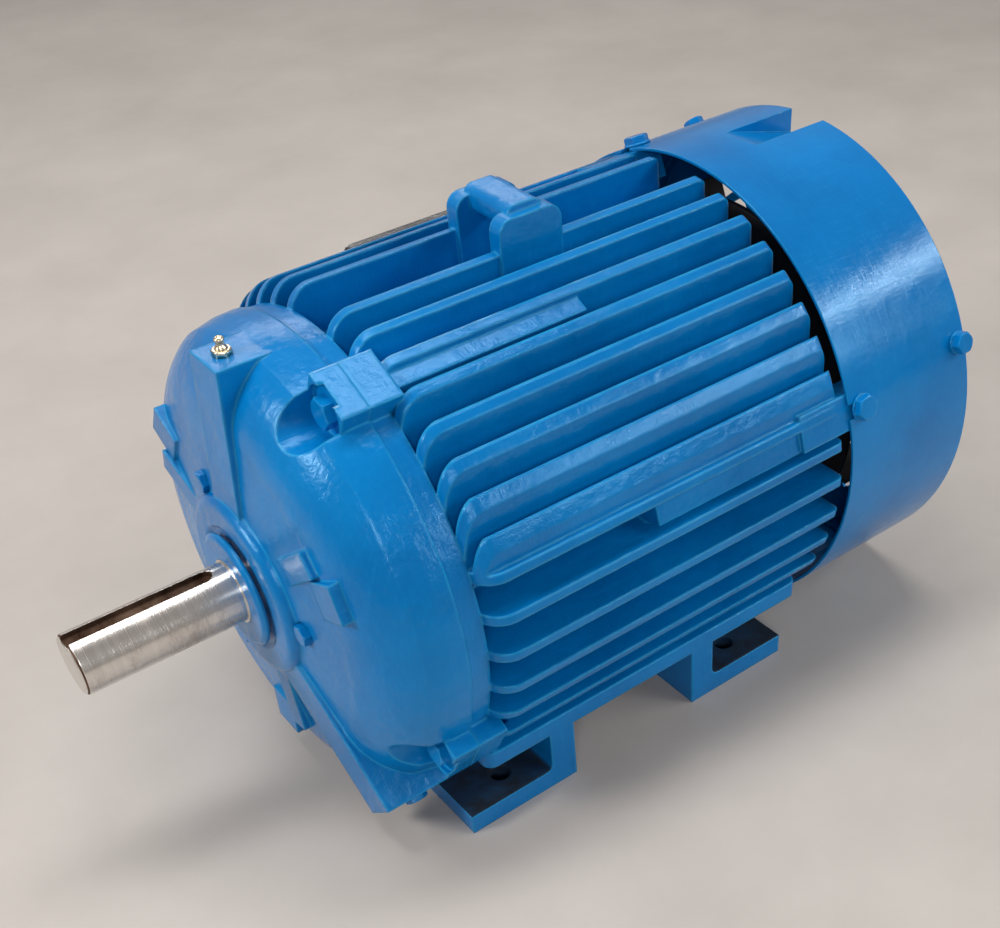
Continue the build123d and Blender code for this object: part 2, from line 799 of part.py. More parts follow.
with BuildPart() as rotor_core:
    with BuildSketch(section(core_length / 2)):
        Circle(rotor_radius)
        Circle(core_seat_diameter / 2 + fit_gap, mode=Mode.SUBTRACT)
        with PolarLocations(bar_centre, rotor_bars):
            Rectangle(rotor_bar_depth, rotor_bar_width, mode=Mode.SUBTRACT)
    extrude(amount=core_length)
save(rotor_core, "rotor_core")

with BuildPart() as rotor_cage:
    with BuildSketch(section(core_length / 2 + 2)):
        with PolarLocations(bar_centre, rotor_bars):
            Rectangle(rotor_bar_depth - 2 * fit_gap, rotor_bar_width - 2 * fit_gap)
    extrude(amount=core_length + 4)
    ring_inner = rotor_radius - rotor_bar_depth - 8
    for end in (1, -1):
        near = end * (core_length / 2 + seat_gap)
        far = end * (core_length / 2 + end_ring_width)
        tube(min(near, far), max(near, far), rotor_radius - 1, ring_inner)
        tip = end * (core_length / 2 + end_ring_width + 16)
        for blade in range(8):
            radial_block(blade * 45, min(near, tip), max(near, tip), ring_inner + 2, rotor_radius - 4, 5)
save(rotor_cage, "rotor_cage")

# Slinger that turns in front of the drive-end hub
slinger_front = shoulder_x + 0.3

with BuildPart() as slinger:
    turned(
        [
            (slinger_front, bearing_bore / 2 + fit_gap),
            (slinger_front, slinger_radius - 3),
            (slinger_front + 2, slinger_radius),
            (slinger_front + slinger_thickness - 0.5, slinger_radius),
            (slinger_front + slinger_thickness, slinger_radius - 1),
            (slinger_front + slinger_thickness, bearing_bore / 2 + fit_gap),
        ]
    )
save(slinger, "slinger")

# Cooling fan with straight blades, its key and its retaining ring
with BuildPart() as cooling_fan:
    tube(fan_hub_x, fan_hub_x + fan_hub_length, fan_hub_radius, fan_seat_diameter / 2 + fit_gap)
    tube(fan_hub_x, fan_hub_x + fan_disc_thickness, fan_disc_radius, fan_hub_radius - 2)
    for blade in range(fan_blades):
        with BuildSketch(radial_plane((blade + 0.5) * 360 / fan_blades)):
            with BuildLine():
                Polyline(
                    (fan_hub_x, fan_hub_radius - 2),
                    (fan_hub_x, fan_radius - 16),
                    (fan_hub_x + 8, fan_radius),
                    (fan_hub_x + fan_hub_length, fan_radius),
                    (fan_hub_x + fan_hub_length, fan_radius - 30),
                    (fan_hub_x + fan_hub_length - 8, fan_hub_radius - 2),
                    close=True,
                )
            make_face()
        extrude(amount=fan_blade_thickness / 2, both=True)
    with BuildSketch(Plane.XY.offset(shaft_height)):
        with Locations((fan_hub_x + fan_hub_length / 2, 0)):
            Rectangle(fan_hub_length, 8 + 2 * fit_gap)
    extrude(amount=fan_seat_diameter / 2 + 3, mode=Mode.SUBTRACT)
save(cooling_fan, "cooling_fan")

with BuildPart() as fan_key:
    with BuildSketch(Plane.XY.offset(shaft_height + fan_seat_diameter / 2 - 4 + fit_gap)):
        with Locations((fan_hub_x + fan_hub_length / 2, 0)):
            Rectangle(fan_key_length - 2 * fit_gap, 8 - 2 * fit_gap)
    extrude(amount=6.5)
save(fan_key, "fan_key")

with BuildPart() as fan_retaining_ring:
    tube(clip_x + fit_gap, clip_x + 1.75, fan_seat_diameter / 2 + 4, fan_seat_diameter / 2 - 1.1)
    with BuildSketch(section(clip_x + 3)):
        with Locations((0, fan_seat_diameter / 2)):
            Rectangle(7, 16)
    extrude(amount=6, mode=Mode.SUBTRACT)
save(fan_retaining_ring, "fan_retaining_ring")

# Fan cowl of pressed sheet, cut flat underneath and pressed in at the top rear
cowl_flat = shaft_height - cowl_floor_gap


def cowl_body(x_start, x_end, inset, mode=Mode.ADD):
    """The cowl's outer form, or the same form drawn in by an inset for its inside."""
    with BuildSketch(section(x_end)) as outline:
        Circle(cowl_radius - inset)
        with Locations((0, -cowl_flat + inset)):
            Rectangle(3 * cowl_radius, cowl_radius, align=(Align.CENTER, Align.MAX), mode=Mode.SUBTRACT)
    extrude(outline.sketch, amount=x_end - x_start, mode=mode)


def cowl_recess(inset, mode=Mode.SUBTRACT):
    """The wedge pressed into the top of the cowl, or its underside for an inset."""
    slope = recess_drop / (cowl_rear - recess_front)
    with BuildSketch(radial_plane(90)) as wedge:
        with BuildLine():
            Polyline(
                (recess_front - inset, cowl_radius + 5),
                (recess_front - inset, cowl_radius - inset),
                (cowl_rear + 20, cowl_radius - inset - slope * (cowl_rear + 20 - recess_front)),
                (cowl_rear + 20, cowl_radius + 5),
                close=True,
            )
        make_face()
    extrude(wedge.sketch, amount=recess_half_width + inset, both=True, mode=mode)


with BuildPart() as cowl_space:
    cowl_body(cowl_front, cowl_rear - cowl_sheet, cowl_sheet)
    cowl_recess(cowl_sheet)

with BuildPart() as fan_cowl:
    cowl_body(cowl_front, cowl_rear, 0)
    cowl_recess(0)
    add(cowl_space.part, mode=Mode.SUBTRACT)
    tube(cowl_rear - 5, cowl_rear, cowl_radius - cowl_lip - cowl_sheet, mode=Mode.SUBTRACT)
    for angle in cowl_bolt_angles:
        with BuildSketch(facing_out(cowl_bolt_x, cowl_radius + 5, angle)):
            Circle(cowl_bolt / 2 + 0.5)
            with Locations(((cowl_front - cowl_bolt_x) / 2, 0)):
                Rectangle(cowl_bolt_x - cowl_front, cowl_bolt + 1)
        extrude(amount=-12, mode=Mode.SUBTRACT)
    for angle in guard_screw_angles:
        round_hole(facing_out(guard_screw_x, cowl_radius + 5, angle), guard_screw + 1, 12)
save(fan_cowl, "fan_cowl")

with BuildPart() as cowl_bolts:
    for angle in cowl_bolt_angles:
        hex_bolt(
            facing_out(cowl_bolt_x, cowl_radius + 0.1, angle),
            cowl_bolt, cowl_bolt_flats, cowl_bolt_head, 16,
        )
save(cowl_bolts, "cowl_bolts")

# Fan guard: rings and spokes inside the cowl's rear lip
guard_rear = cowl_rear - cowl_sheet - seat_gap
guard_face = guard_rear - 3

with BuildPart() as fan_guard:
    cowl_body(guard_rear - guard_depth, guard_rear, cowl_sheet + seat_gap)
    cowl_body(guard_rear - guard_depth, guard_face, cowl_sheet + seat_gap + 3, mode=Mode.SUBTRACT)
    cowl_recess(cowl_sheet + seat_gap)
    for bar in range(guard_bars):
        slot_inner = 16 + bar * guard_bar_pitch
        tube(
            guard_face - 1, guard_rear,
            slot_inner + guard_bar_pitch - guard_bar_width, slot_inner, mode=Mode.SUBTRACT,
        )
    for spoke in range(guard_spokes):
        radial_block(
            spoke * 360 / guard_spokes, guard_face, guard_rear, 10, 16 + guard_bars * guard_bar_pitch, 8
        )
    for angle in guard_screw_angles:
        round_hole(facing_out(guard_screw_x, cowl_radius, angle), guard_screw + 2 * fit_gap, 20)
save(fan_guard, "fan_guard")

with BuildPart() as guard_screws:
    for angle in guard_screw_angles:
        hex_bolt(
            facing_out(guard_screw_x, cowl_radius + 0.1, angle),
            guard_screw, guard_screw_flats, guard_screw_head, 12,
        )
save(guard_screws, "guard_screws")

# Grease nipple on the inlet boss, and the plug of the relief boss
with BuildPart() as grease_nipple:
    nipple_hex = 4
    nipple_neck = 4.5
    hex_bolt(
        Plane.XY.offset(shaft_height + grease_boss_top).move(Location((nipple_x, 0, 0))),
        7.8, 13, nipple_hex, 12,
    )
    with Locations((nipple_x, 0, shaft_height + grease_boss_top + nipple_hex)):
        Cone(4.2, 2.4, nipple_neck, align=(Align.CENTER, Align.CENTER, Align.MIN))
    with Locations((nipple_x, 0, shaft_height + grease_boss_top + nipple_hex + nipple_neck)):
        Cylinder(3.1, 3.2, align=(Align.CENTER, Align.CENTER, Align.MIN))
save(grease_nipple, "grease_nipple")

with BuildPart() as relief_plug:
    hex_bolt(facing_out(relief_x, relief_boss_top, relief_boss_angle), 10, 14, 5, 12)
save(relief_plug, "relief_plug")

# Terminal box on the far side
box_base_y = box_seat_y + gasket_thickness
box_front_y = box_base_y + box_depth
cover_y = box_front_y + gasket_thickness
screw_grid = box_side - 2 * cover_screw_inset
box_centre = (box_x, shaft_height + box_z_above_axis)
stud_x = [box_x + terminal_spacing * column for column in (-1, 0, 1)]
stud_z = [box_centre[1] + terminal_spacing * row / 2 for row in (-1, 1)]


def box_plane(y):
    """A plane across the terminal box, facing away from the motor."""
    return Plane(origin=(box_centre[0], y, box_centre[1]), x_dir=(-1, 0, 0), z_dir=(0, 1, 0))


def box_layer(y, thickness, *shapes):
    """A layer of the terminal box, cut with openings of the given sizes."""
    with BuildSketch(box_plane(y)) as layer:
        RectangleRounded(box_side, box_side, 8)
        for width in shapes:
            RectangleRounded(width, width, 5, mode=Mode.SUBTRACT)
    extrude(layer.sketch, amount=thickness)


with BuildPart() as terminal_box_seal:
    with BuildSketch(box_plane(box_seat_y)):
        RectangleRounded(box_pad_side, box_pad_side, 5)
        RectangleRounded(lead_window, lead_window, 5, mode=Mode.SUBTRACT)
    extrude(amount=gasket_thickness)
save(terminal_box_seal, "terminal_box_seal")

with BuildPart() as terminal_box:
    box_layer(box_base_y, box_depth)
    with BuildSketch(box_plane(box_base_y + box_wall)):
        RectangleRounded(box_side - 2 * box_wall, box_side - 2 * box_wall, 5)
        with GridLocations(screw_grid, screw_grid, 2, 2):
            Circle(8, mode=Mode.SUBTRACT)
    extrude(amount=box_depth, mode=Mode.SUBTRACT)
    with BuildSketch(box_plane(box_base_y)):
        RectangleRounded(lead_window, lead_window, 5)
    extrude(amount=box_wall, mode=Mode.SUBTRACT)
    with BuildSketch(Plane.XY.offset(box_centre[1] - box_side / 2 + 1)):
        with Locations((box_x, box_base_y + box_depth / 2)):
            with GridLocations(entry_spacing, 1, 2, 1):
                Circle(entry_diameter / 2 + entry_boss_wall)
    extrude(amount=-5)
    with Locations((box_x, box_base_y + box_depth / 2, box_centre[1] - box_side / 2 - 4)):
        with GridLocations(entry_spacing, 1, 2, 1):
            Cylinder(
                entry_diameter / 2, box_wall + 5, align=(Align.CENTER, Align.CENTER, Align.MIN),
                mode=Mode.SUBTRACT,
            )
    with BuildSketch(box_plane(box_front_y)):
        with GridLocations(screw_grid, screw_grid, 2, 2):
            Circle(3 + fit_gap)
    extrude(amount=-20, mode=Mode.SUBTRACT)
save(terminal_box, "terminal_box")

with BuildPart() as cover_gasket:
    box_layer(box_front_y, gasket_thickness, box_side - 2 * box_wall - 16)
    with BuildSketch(box_plane(box_front_y)):
        with GridLocations(screw_grid, screw_grid, 2, 2):
            Circle(3.5)
    extrude(amount=gasket_thickness, mode=Mode.SUBTRACT)
save(cover_gasket, "cover_gasket")

with BuildPart() as terminal_box_cover:
    box_layer(cover_y, cover_depth)
    top_edges = terminal_box_cover.faces().sort_by(Axis.Y)[-1].edges()
    chamfer(top_edges, length=5)
    with BuildSketch(box_plane(cover_y)):
        RectangleRounded(box_side - 40, box_side - 40, 5)
    extrude(amount=cover_depth - 4, mode=Mode.SUBTRACT)
    with BuildSketch(box_plane(cover_y)):
        with GridLocations(screw_grid, screw_grid, 2, 2):
            Circle(3.5)
    extrude(amount=cover_depth, mode=Mode.SUBTRACT)
save(terminal_box_cover, "terminal_box_cover")

with BuildPart() as cover_screws:
    for column in (-1, 1):
        for row in (-1, 1):
            spot = (
                box_x + column * screw_grid / 2, cover_y + cover_depth, box_centre[1] + row * screw_grid / 2
            )
            hex_bolt(Plane(origin=spot, z_dir=(0, 1, 0)), 6, 10, 4, 30)
save(cover_screws, "cover_screws")

block_height = 14
with BuildPart() as terminal_block:
    with BuildSketch(box_plane(box_base_y + box_wall)):
        RectangleRounded(4 * terminal_spacing, 2.4 * terminal_spacing, 4)
    extrude(amount=block_height)
    with BuildSketch(box_plane(box_base_y + box_wall + block_height)):
        with GridLocations(terminal_spacing, terminal_spacing, 3, 2):
            Circle(terminal_stud / 2 + fit_gap)
    extrude(amount=-block_height, mode=Mode.SUBTRACT)
save(terminal_block, "terminal_block")

with BuildPart() as terminal_studs:
    stud_seat = box_base_y + box_wall + block_height
    for x in stud_x:
        for z in stud_z:
            hex_bolt(
                Plane(origin=(x, stud_seat + 2 + fit_gap, z), z_dir=(0, 1, 0)), terminal_stud, 10, 5, 14
            )
            with BuildSketch(Plane(origin=(x, stud_seat + 7, z), z_dir=(0, 1, 0))) as stem:
                Circle(terminal_stud / 2)
            extrude(stem.sketch, amount=10)
save(terminal_studs, "terminal_studs")

with BuildPart() as terminal_links:
    with BuildSketch(box_plane(stud_seat)):
        with GridLocations(terminal_spacing, 1, 3, 1):
            Rectangle(12, terminal_spacing + 12)
        with GridLocations(terminal_spacing, terminal_spacing, 3, 2):
            Circle(terminal_stud / 2 + fit_gap, mode=Mode.SUBTRACT)
    extrude(amount=2)
save(terminal_links, "terminal_links")

with BuildPart() as entry_plug:
    plug_seat = Plane(
        origin=(box_x + entry_spacing / 2, box_base_y + box_depth / 2, box_centre[1] - box_side / 2 - 4),
        z_dir=(0, 0, -1),
    )
    hex_bolt(plug_seat, entry_diameter - 0.3, 36, 6, 12)
save(entry_plug, "entry_plug")
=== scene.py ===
# %% [markdown]
# This lesson dresses a three-phase cage motor in Blender. The shapes come packed from
# CAD, as named nodes on three bodies: the standing parts, the rotor and the roller set.
# What is left for Blender is the paint, the metals, the light, and the small turned and
# pressed fittings that a plain solid only stands in for. Lengths are in metres. X runs
# along the shaft from the drive end to the fan end, Y points away from the side that is
# seen first, and Z points up.

# %% Load the frame
import json
import math
import bmesh
import bpy
import numpy as np
from mathutils import Euler, Matrix, Vector


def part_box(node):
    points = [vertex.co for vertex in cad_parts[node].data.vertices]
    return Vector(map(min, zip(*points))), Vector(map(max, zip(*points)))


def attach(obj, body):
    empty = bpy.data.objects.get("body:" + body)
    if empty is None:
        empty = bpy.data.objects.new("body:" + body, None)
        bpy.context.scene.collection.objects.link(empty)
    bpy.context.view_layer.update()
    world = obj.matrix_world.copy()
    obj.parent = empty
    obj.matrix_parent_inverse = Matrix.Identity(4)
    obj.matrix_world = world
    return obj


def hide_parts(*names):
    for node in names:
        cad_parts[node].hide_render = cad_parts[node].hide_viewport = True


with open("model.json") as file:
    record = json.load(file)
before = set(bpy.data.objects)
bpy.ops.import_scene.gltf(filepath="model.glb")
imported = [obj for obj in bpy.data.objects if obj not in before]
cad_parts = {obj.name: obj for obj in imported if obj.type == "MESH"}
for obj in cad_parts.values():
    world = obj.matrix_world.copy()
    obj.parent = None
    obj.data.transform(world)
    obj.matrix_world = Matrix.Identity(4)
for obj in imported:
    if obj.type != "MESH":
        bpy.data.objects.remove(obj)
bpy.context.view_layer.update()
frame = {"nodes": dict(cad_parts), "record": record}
nodes = frame["nodes"]

# %% [markdown]
# What is placed or masked later is measured from the shaft and the foot holes, so the
# height of the shaft, its tip and the spacing of the holes are read from the frame first.
# Reading them keeps the scene right when the CAD model changes, where typed numbers would
# drift away from it.

# %% Sizes taken from the frame
shaft_low, shaft_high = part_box("shaft")
axis_height = (shaft_low.z + shaft_high.z) / 2
shaft_tip = shaft_low.x
motor_middle = Vector((0, 0, axis_height))
mounts = {mount["name"]: mount["dims"] for mount in frame["record"]["mounts"]}
foot_holes = mounts["foot_bolts"]
print("axis height", round(axis_height, 4), "tip", round(shaft_tip, 4), "foot holes", foot_holes)

# %% [markdown]
# The camera stands near the drive end and looks down at the near side. A motor's
# proportions show in how its parallel edges run together, so the lens and the place were
# solved from the shaft, the feet and the rims, and not judged by eye. The shift crops the
# view off centre without turning the camera.

# %% Camera
camera_place = Vector((-0.4462, -0.7176, 0.7244))
camera_azimuth = math.radians(36.9)
camera_elevation = math.radians(41.0)
camera_roll = math.radians(-2.8)
camera_lens = 50.2
camera_shift = (-0.110, 0.174)

camera = bpy.data.objects.new("camera", bpy.data.cameras.new("camera"))
bpy.context.scene.collection.objects.link(camera)
camera.data.sensor_width = 36
camera.data.lens = camera_lens
camera.data.shift_x, camera.data.shift_y = camera_shift
heading = Euler((math.pi / 2 - camera_elevation, 0, -camera_azimuth)).to_matrix().to_4x4()
camera.matrix_world = Matrix.Translation(camera_place) @ heading @ Matrix.Rotation(camera_roll, 4, "Z")
bpy.context.scene.camera = camera
bpy.context.scene.view_settings.view_transform = "Standard"
print("camera", round((camera_place - motor_middle).length, 3), "m from the middle of the motor")

# %% [markdown]
# Gloss paint and turned steel are only as good as what they reflect. A bright world would
# wash grey over the blue from every side, so the world is dim and a few soft boxes do the
# work: a long one overhead, a narrow strip at the right that draws the streak along the
# cowl, a window in front of the shaft that catches the shoulder of the dome, two fills for
# the near side, and a thin strip on the far side that gives the round shaft a band.


# %% Lights
def area_light(name, place, size, power, colour=(1, 1, 1)):
    """A rectangular soft light that is aimed at the middle of the motor."""
    data = bpy.data.lights.new(name, "AREA")
    data.shape = "RECTANGLE"
    data.size, data.size_y = size
    data.energy = power
    data.color = colour
    light = bpy.data.objects.new(name, data)
    light.location = place
    light.rotation_euler = (motor_middle - Vector(place)).to_track_quat("-Z", "Y").to_euler()
    bpy.context.scene.collection.objects.link(light)


area_light("ceiling", (0.1, 0.25, 2.3), (2.0, 0.5), 32)
area_light("right_strip", (1.85, -1.45, 1.45), (1.5, 0.08), 18)
area_light("right_fill", (1.3, -2.1, 1.0), (1.0, 0.5), 10, (0.95, 0.98, 1))
area_light("front_window", (-2.0, 0.45, 1.4), (0.7, 0.35), 28, (1, 0.98, 0.96))
area_light("near_fill", (-1.3, -2.0, 1.5), (0.9, 0.5), 19, (1, 0.98, 0.96))
area_light("far_strip", (0.5, 2.2, 1.5), (2.0, 0.16), 10)
print("lights", [light.name for light in bpy.data.lights])

# %% [markdown]
# Shader trees are built in code, so two small helpers keep that readable. Graph adds a
# node and joins its sockets by name in one call. shader_group makes an empty group with
# named inputs and outputs, for an effect that several materials share.


# %% Shader helpers
class Graph:
    """Adds nodes to a shader tree and joins them by their socket names."""

    def __init__(self, tree):
        self.tree = tree

    def add(self, kind, inputs=None, **settings):
        node = self.tree.nodes.new("ShaderNode" + kind)
        for name, value in settings.items():
            setattr(node, name, value)
        for name, value in (inputs or {}).items():
            self.feed(node.inputs[name], value)
        return node

    def feed(self, socket, value):
        """Link a socket to the input, or set it where the value is a plain number or colour."""
        if isinstance(value, bpy.types.NodeSocket):
            self.tree.links.new(value, socket)
        else:
            socket.default_value = value

    def noise(self, coordinates, scale, detail=3, roughness=0.55):
        inputs = {"Vector": coordinates, "Scale": scale, "Detail": detail, "Roughness": roughness}
        return self.add("TexNoise", inputs).outputs["Fac"]

    def stretched(self, coordinates, scale, turn=(0, 0, 0)):
        inputs = {"Vector": coordinates, "Scale": scale, "Rotation": turn}
        return self.add("Mapping", inputs).outputs["Vector"]

    def maths(self, operation, first, second=0.0):
        return self.add("Math", {0: first, 1: second}, operation=operation).outputs[0]

    def remap(self, value, low, high, new_low=0.0, new_high=1.0):
        inputs = {"Value": value, "From Min": low, "From Max": high, "To Min": new_low, "To Max": new_high}
        return self.add("MapRange", inputs).outputs["Result"]

    def blend(self, factor, first, second):
        node = self.add("Mix", data_type="RGBA")
        for index, value in ((0, factor), (6, first), (7, second)):
            self.feed(node.inputs[index], value)
        return node.outputs[2]

    def bump(self, height, distance, normal):
        inputs = {"Height": height, "Distance": distance, "Normal": normal}
        return self.add("Bump", inputs).outputs["Normal"]

    def soft_edge(self, radius):
        """A normal that rounds every sharp edge, and a mask that is 1 on those edges."""
        rounded = self.add("Bevel", {"Radius": radius}, samples=6).outputs["Normal"]
        flat = self.add("NewGeometry").outputs["Normal"]
        along = self.add("VectorMath", {0: rounded, 1: flat}, operation="DOT_PRODUCT").outputs["Value"]
        return rounded, self.remap(along, 0.995, 0.86)


def shader_group(name, inputs, outputs=("Colour", "Roughness", "Normal")):
    """An empty shader group with the sockets it is given, and its input and output sockets."""
    kinds = {"Colour": "Color", "Normal": "Vector", "Roughness": "Float"}
    tree = bpy.data.node_groups.new(name, "ShaderNodeTree")
    for socket, value in inputs.items():
        kind = "Color" if isinstance(value, tuple) else "Float"
        made = tree.interface.new_socket(socket, in_out="INPUT", socket_type="NodeSocket" + kind)
        made.default_value = value
    for socket in outputs:
        tree.interface.new_socket(socket, in_out="OUTPUT", socket_type="NodeSocket" + kinds[socket])
    return Graph(tree), tree.nodes.new("NodeGroupInput").outputs, tree.nodes.new("NodeGroupOutput").inputs


print("shader helpers", [name for name in vars(Graph) if not name.startswith("_")])

# %% [markdown]
# A motor like this is painted by brush or spray over rough iron, so its blue is thick,
# glossy and never quite even. Three things show that: the cast grain under the paint, the
# long brush marks that break up each highlight, and the paler colour on every edge, which
# is partly the thin film of paint there and partly a painted highlight, the glint that a
# rounded edge catches. A clear coat would stay smooth over them all, so the gloss is left
# to the paint itself.
# The Bevel node finds the edges from the shape itself, so nothing has to be drawn. The top
# faces of the feet and the insides of their holes are painted near black, by a mask of
# height, slope and distance from the hole.


# %% Brushed enamel over a casting
hole_margin = 0.0008
patch_scale, edge_glint_breakup_scale, sag_scale, cast_scale = 9, 60, 36, 150
stroke_stretch, stroke_turn = (70, 800, 70), (0.5, 0, 0.35)
ripple_stretch, ripple_turn = (800, 70, 70), (0, 0.4, 0.3)
streak_share = 0.12
# Near black painted on the low, upward faces of the feet and inside the foot holes.
foot_dark_scale = 45
foot_dark_colour = (0.012, 0.013, 0.018, 1)
foot_dark_roughness = 0.45


def make_enamel_group():
    """Thick gloss paint over cast texture and brush marks, with pale edges: thin paint and a painted
    highlight.
    """
    graph, given, result = shader_group(
        "brushed_enamel",
        {
            "Colour": (0.0, 0.1, 0.4, 1),
            "Thin Paint And Glint Colour": (0.02, 0.2, 0.5, 1),
            "Deep Colour": (0.0, 0.05, 0.25, 1),
            "Cast Depth": 0.0005,
            "Brush Depth": 0.00025,
            "Sag Depth": 0.0012,
            "Edge Radius": 0.0022,
            "Dark Below Height": 0.0,
        },
    )
    place = graph.add("TexCoord").outputs["Object"]
    rounded, edge = graph.soft_edge(given["Edge Radius"])

    patches = graph.noise(place, patch_scale, 4)
    cast = graph.noise(place, cast_scale, 4, 0.6)
    sags = graph.noise(place, sag_scale, 2)
    strokes = graph.noise(graph.stretched(place, stroke_stretch, stroke_turn), 1, 4, 0.6)
    ripples = graph.noise(graph.stretched(place, ripple_stretch, ripple_turn), 1, 4, 0.6)
    brush = graph.maths("ADD", graph.maths("MULTIPLY", strokes, 0.5), graph.maths("MULTIPLY", ripples, 0.5))

    body = graph.blend(graph.remap(patches, 0.35, 0.7), given["Deep Colour"], given["Colour"])
    # The edges are mixed towards the pale colour, partly for thin paint and partly as a painted highlight
    # along each edge.
    edge_glint_breakup = graph.remap(graph.noise(place, edge_glint_breakup_scale, 3), 0.3, 0.7, 0.45, 1.0)
    worn_and_glinting_edge = graph.maths("MULTIPLY", edge, edge_glint_breakup)
    streaky = graph.maths("MULTIPLY", graph.remap(brush, 0.52, 0.68), streak_share)
    painted = graph.blend(graph.maths("MAXIMUM", worn_and_glinting_edge, streaky), body, given["Thin Paint And Glint Colour"])

    # The top faces of the feet, low down and facing up, and the insides of the foot holes are painted near
    # black, a little patchy.
    part = graph.add("SeparateXYZ", {"Vector": place}).outputs
    off_x = graph.maths("SUBTRACT", graph.maths("ABSOLUTE", part["X"]), foot_holes["spacing_x_mm"] / 2000)
    off_y = graph.maths("SUBTRACT", graph.maths("ABSOLUTE", part["Y"]), foot_holes["spacing_y_mm"] / 2000)
    squares = graph.maths("ADD", graph.maths("POWER", off_x, 2.0), graph.maths("POWER", off_y, 2.0))
    in_hole = graph.maths("LESS_THAN", squares, (foot_holes["hole_r_mm"] / 1000 + hole_margin) ** 2)
    upwards = graph.add("SeparateXYZ", {"Vector": graph.add("NewGeometry").outputs["Normal"]}).outputs["Z"]
    low_down = graph.maths("LESS_THAN", part["Z"], given["Dark Below Height"])
    up_faces_and_holes = graph.maths("MAXIMUM", in_hole, graph.remap(upwards, 0.3, 0.8))
    dark_mask = graph.maths("MULTIPLY", low_down, up_faces_and_holes)
    patchy = graph.remap(graph.noise(place, foot_dark_scale, 5, 0.65), 0.25, 0.6, 0.82, 1)
    darkening = graph.maths("MULTIPLY", dark_mask, patchy)

    soft = graph.bump(sags, given["Sag Depth"], rounded)
    grained = graph.bump(cast, given["Cast Depth"], soft)
    brushed = graph.bump(brush, given["Brush Depth"], grained)
    rough = graph.remap(brush, 0.35, 0.65, 0.1, 0.27)
    graph.feed(result["Colour"], graph.blend(darkening, painted, foot_dark_colour))
    dull = graph.maths("MULTIPLY", dark_mask, foot_dark_roughness)
    graph.feed(result["Roughness"], graph.maths("ADD", rough, dull))
    graph.feed(result["Normal"], brushed)
    return graph.tree


enamel_group = make_enamel_group()
print(enamel_group.name, "nodes", len(enamel_group.nodes))

# %% [markdown]
# A shaft end is ground round and round, so its marks are rings square to X, and the
# highlight is drawn out along it. Noise squeezed hard along X makes those rings. It has
# stood without its key, so rust-brown grime has gathered in the keyway: a mask by radius
# finds the metal that lies below the round surface, whatever the keyway's outline is.


# %% Turned steel
ring_stretch, band_stretch, blotch_stretch = (2600, 8, 8), (260, 3, 3), (70, 30, 30)
polished_colour = (0.92, 0.89, 0.85, 1)
dark_rust, brown_rust = (0.045, 0.02, 0.012, 1), (0.2, 0.13, 0.09, 1)
rust_roughness = 0.4


def make_turned_group():
    """Ground or turned steel: fine rings round X, brown stains, and rust below a given radius."""
    graph, given, result = shader_group(
        "turned_steel",
        {
            "Colour": (0.6, 0.58, 0.55, 1),
            "Stain Colour": (0.2, 0.1, 0.05, 1),
            "Stain Amount": 0.3,
            "Ring Depth": 0.00006,
            "Edge Radius": 0.0008,
            "Grime Radius": 0.0,
            "Grime Start": 0.0,
        },
    )
    place = graph.add("TexCoord").outputs["Object"]
    rounded, _ = graph.soft_edge(given["Edge Radius"])
    rings = graph.noise(graph.stretched(place, ring_stretch), 1, 3, 0.6)
    broad = graph.noise(graph.stretched(place, band_stretch), 1, 3, 0.6)
    blotches = graph.noise(graph.stretched(place, blotch_stretch), 1, 6, 0.65)
    stain = graph.maths("MULTIPLY", graph.remap(blotches, 0.48, 0.7), given["Stain Amount"])

    part = graph.add("SeparateXYZ", {"Vector": place}).outputs
    across = graph.maths("POWER", part["Y"], 2.0)
    height = graph.maths("POWER", graph.maths("SUBTRACT", part["Z"], axis_height), 2.0)
    radius = graph.maths("SQRT", graph.maths("ADD", across, height))
    inside = graph.maths("LESS_THAN", radius, given["Grime Radius"])
    beyond = graph.maths("GREATER_THAN", part["X"], given["Grime Start"])
    dark_mask = graph.maths("MULTIPLY", inside, beyond)

    bright = graph.blend(graph.remap(broad, 0.3, 0.7, 0.0, 0.4), given["Colour"], polished_colour)
    stained = graph.blend(stain, bright, given["Stain Colour"])
    darkening = graph.blend(graph.remap(blotches, 0.35, 0.65), dark_rust, brown_rust)
    ground = graph.remap(rings, 0.3, 0.7, 0.16, 0.28)
    rough = graph.maths("ADD", ground, graph.maths("MULTIPLY", stain, rust_roughness))
    graph.feed(result["Colour"], graph.blend(dark_mask, stained, darkening))
    dull = graph.maths("MULTIPLY", dark_mask, rust_roughness)
    graph.feed(result["Roughness"], graph.maths("ADD", rough, dull))
    graph.feed(result["Normal"], graph.bump(rings, given["Ring Depth"], rounded))
    return graph.tree


turned_group = make_turned_group()
print(turned_group.name, "nodes", len(turned_group.nodes))

# %% [markdown]
# The bare castings, the laminations, the plastics and the rubber share one recipe: two
# close colours that drift into each other, and a fine grain. Only the numbers differ, so
# one group with named inputs serves them all.


# %% Grained surface for castings, plastics and rubber
drift_scale = 24


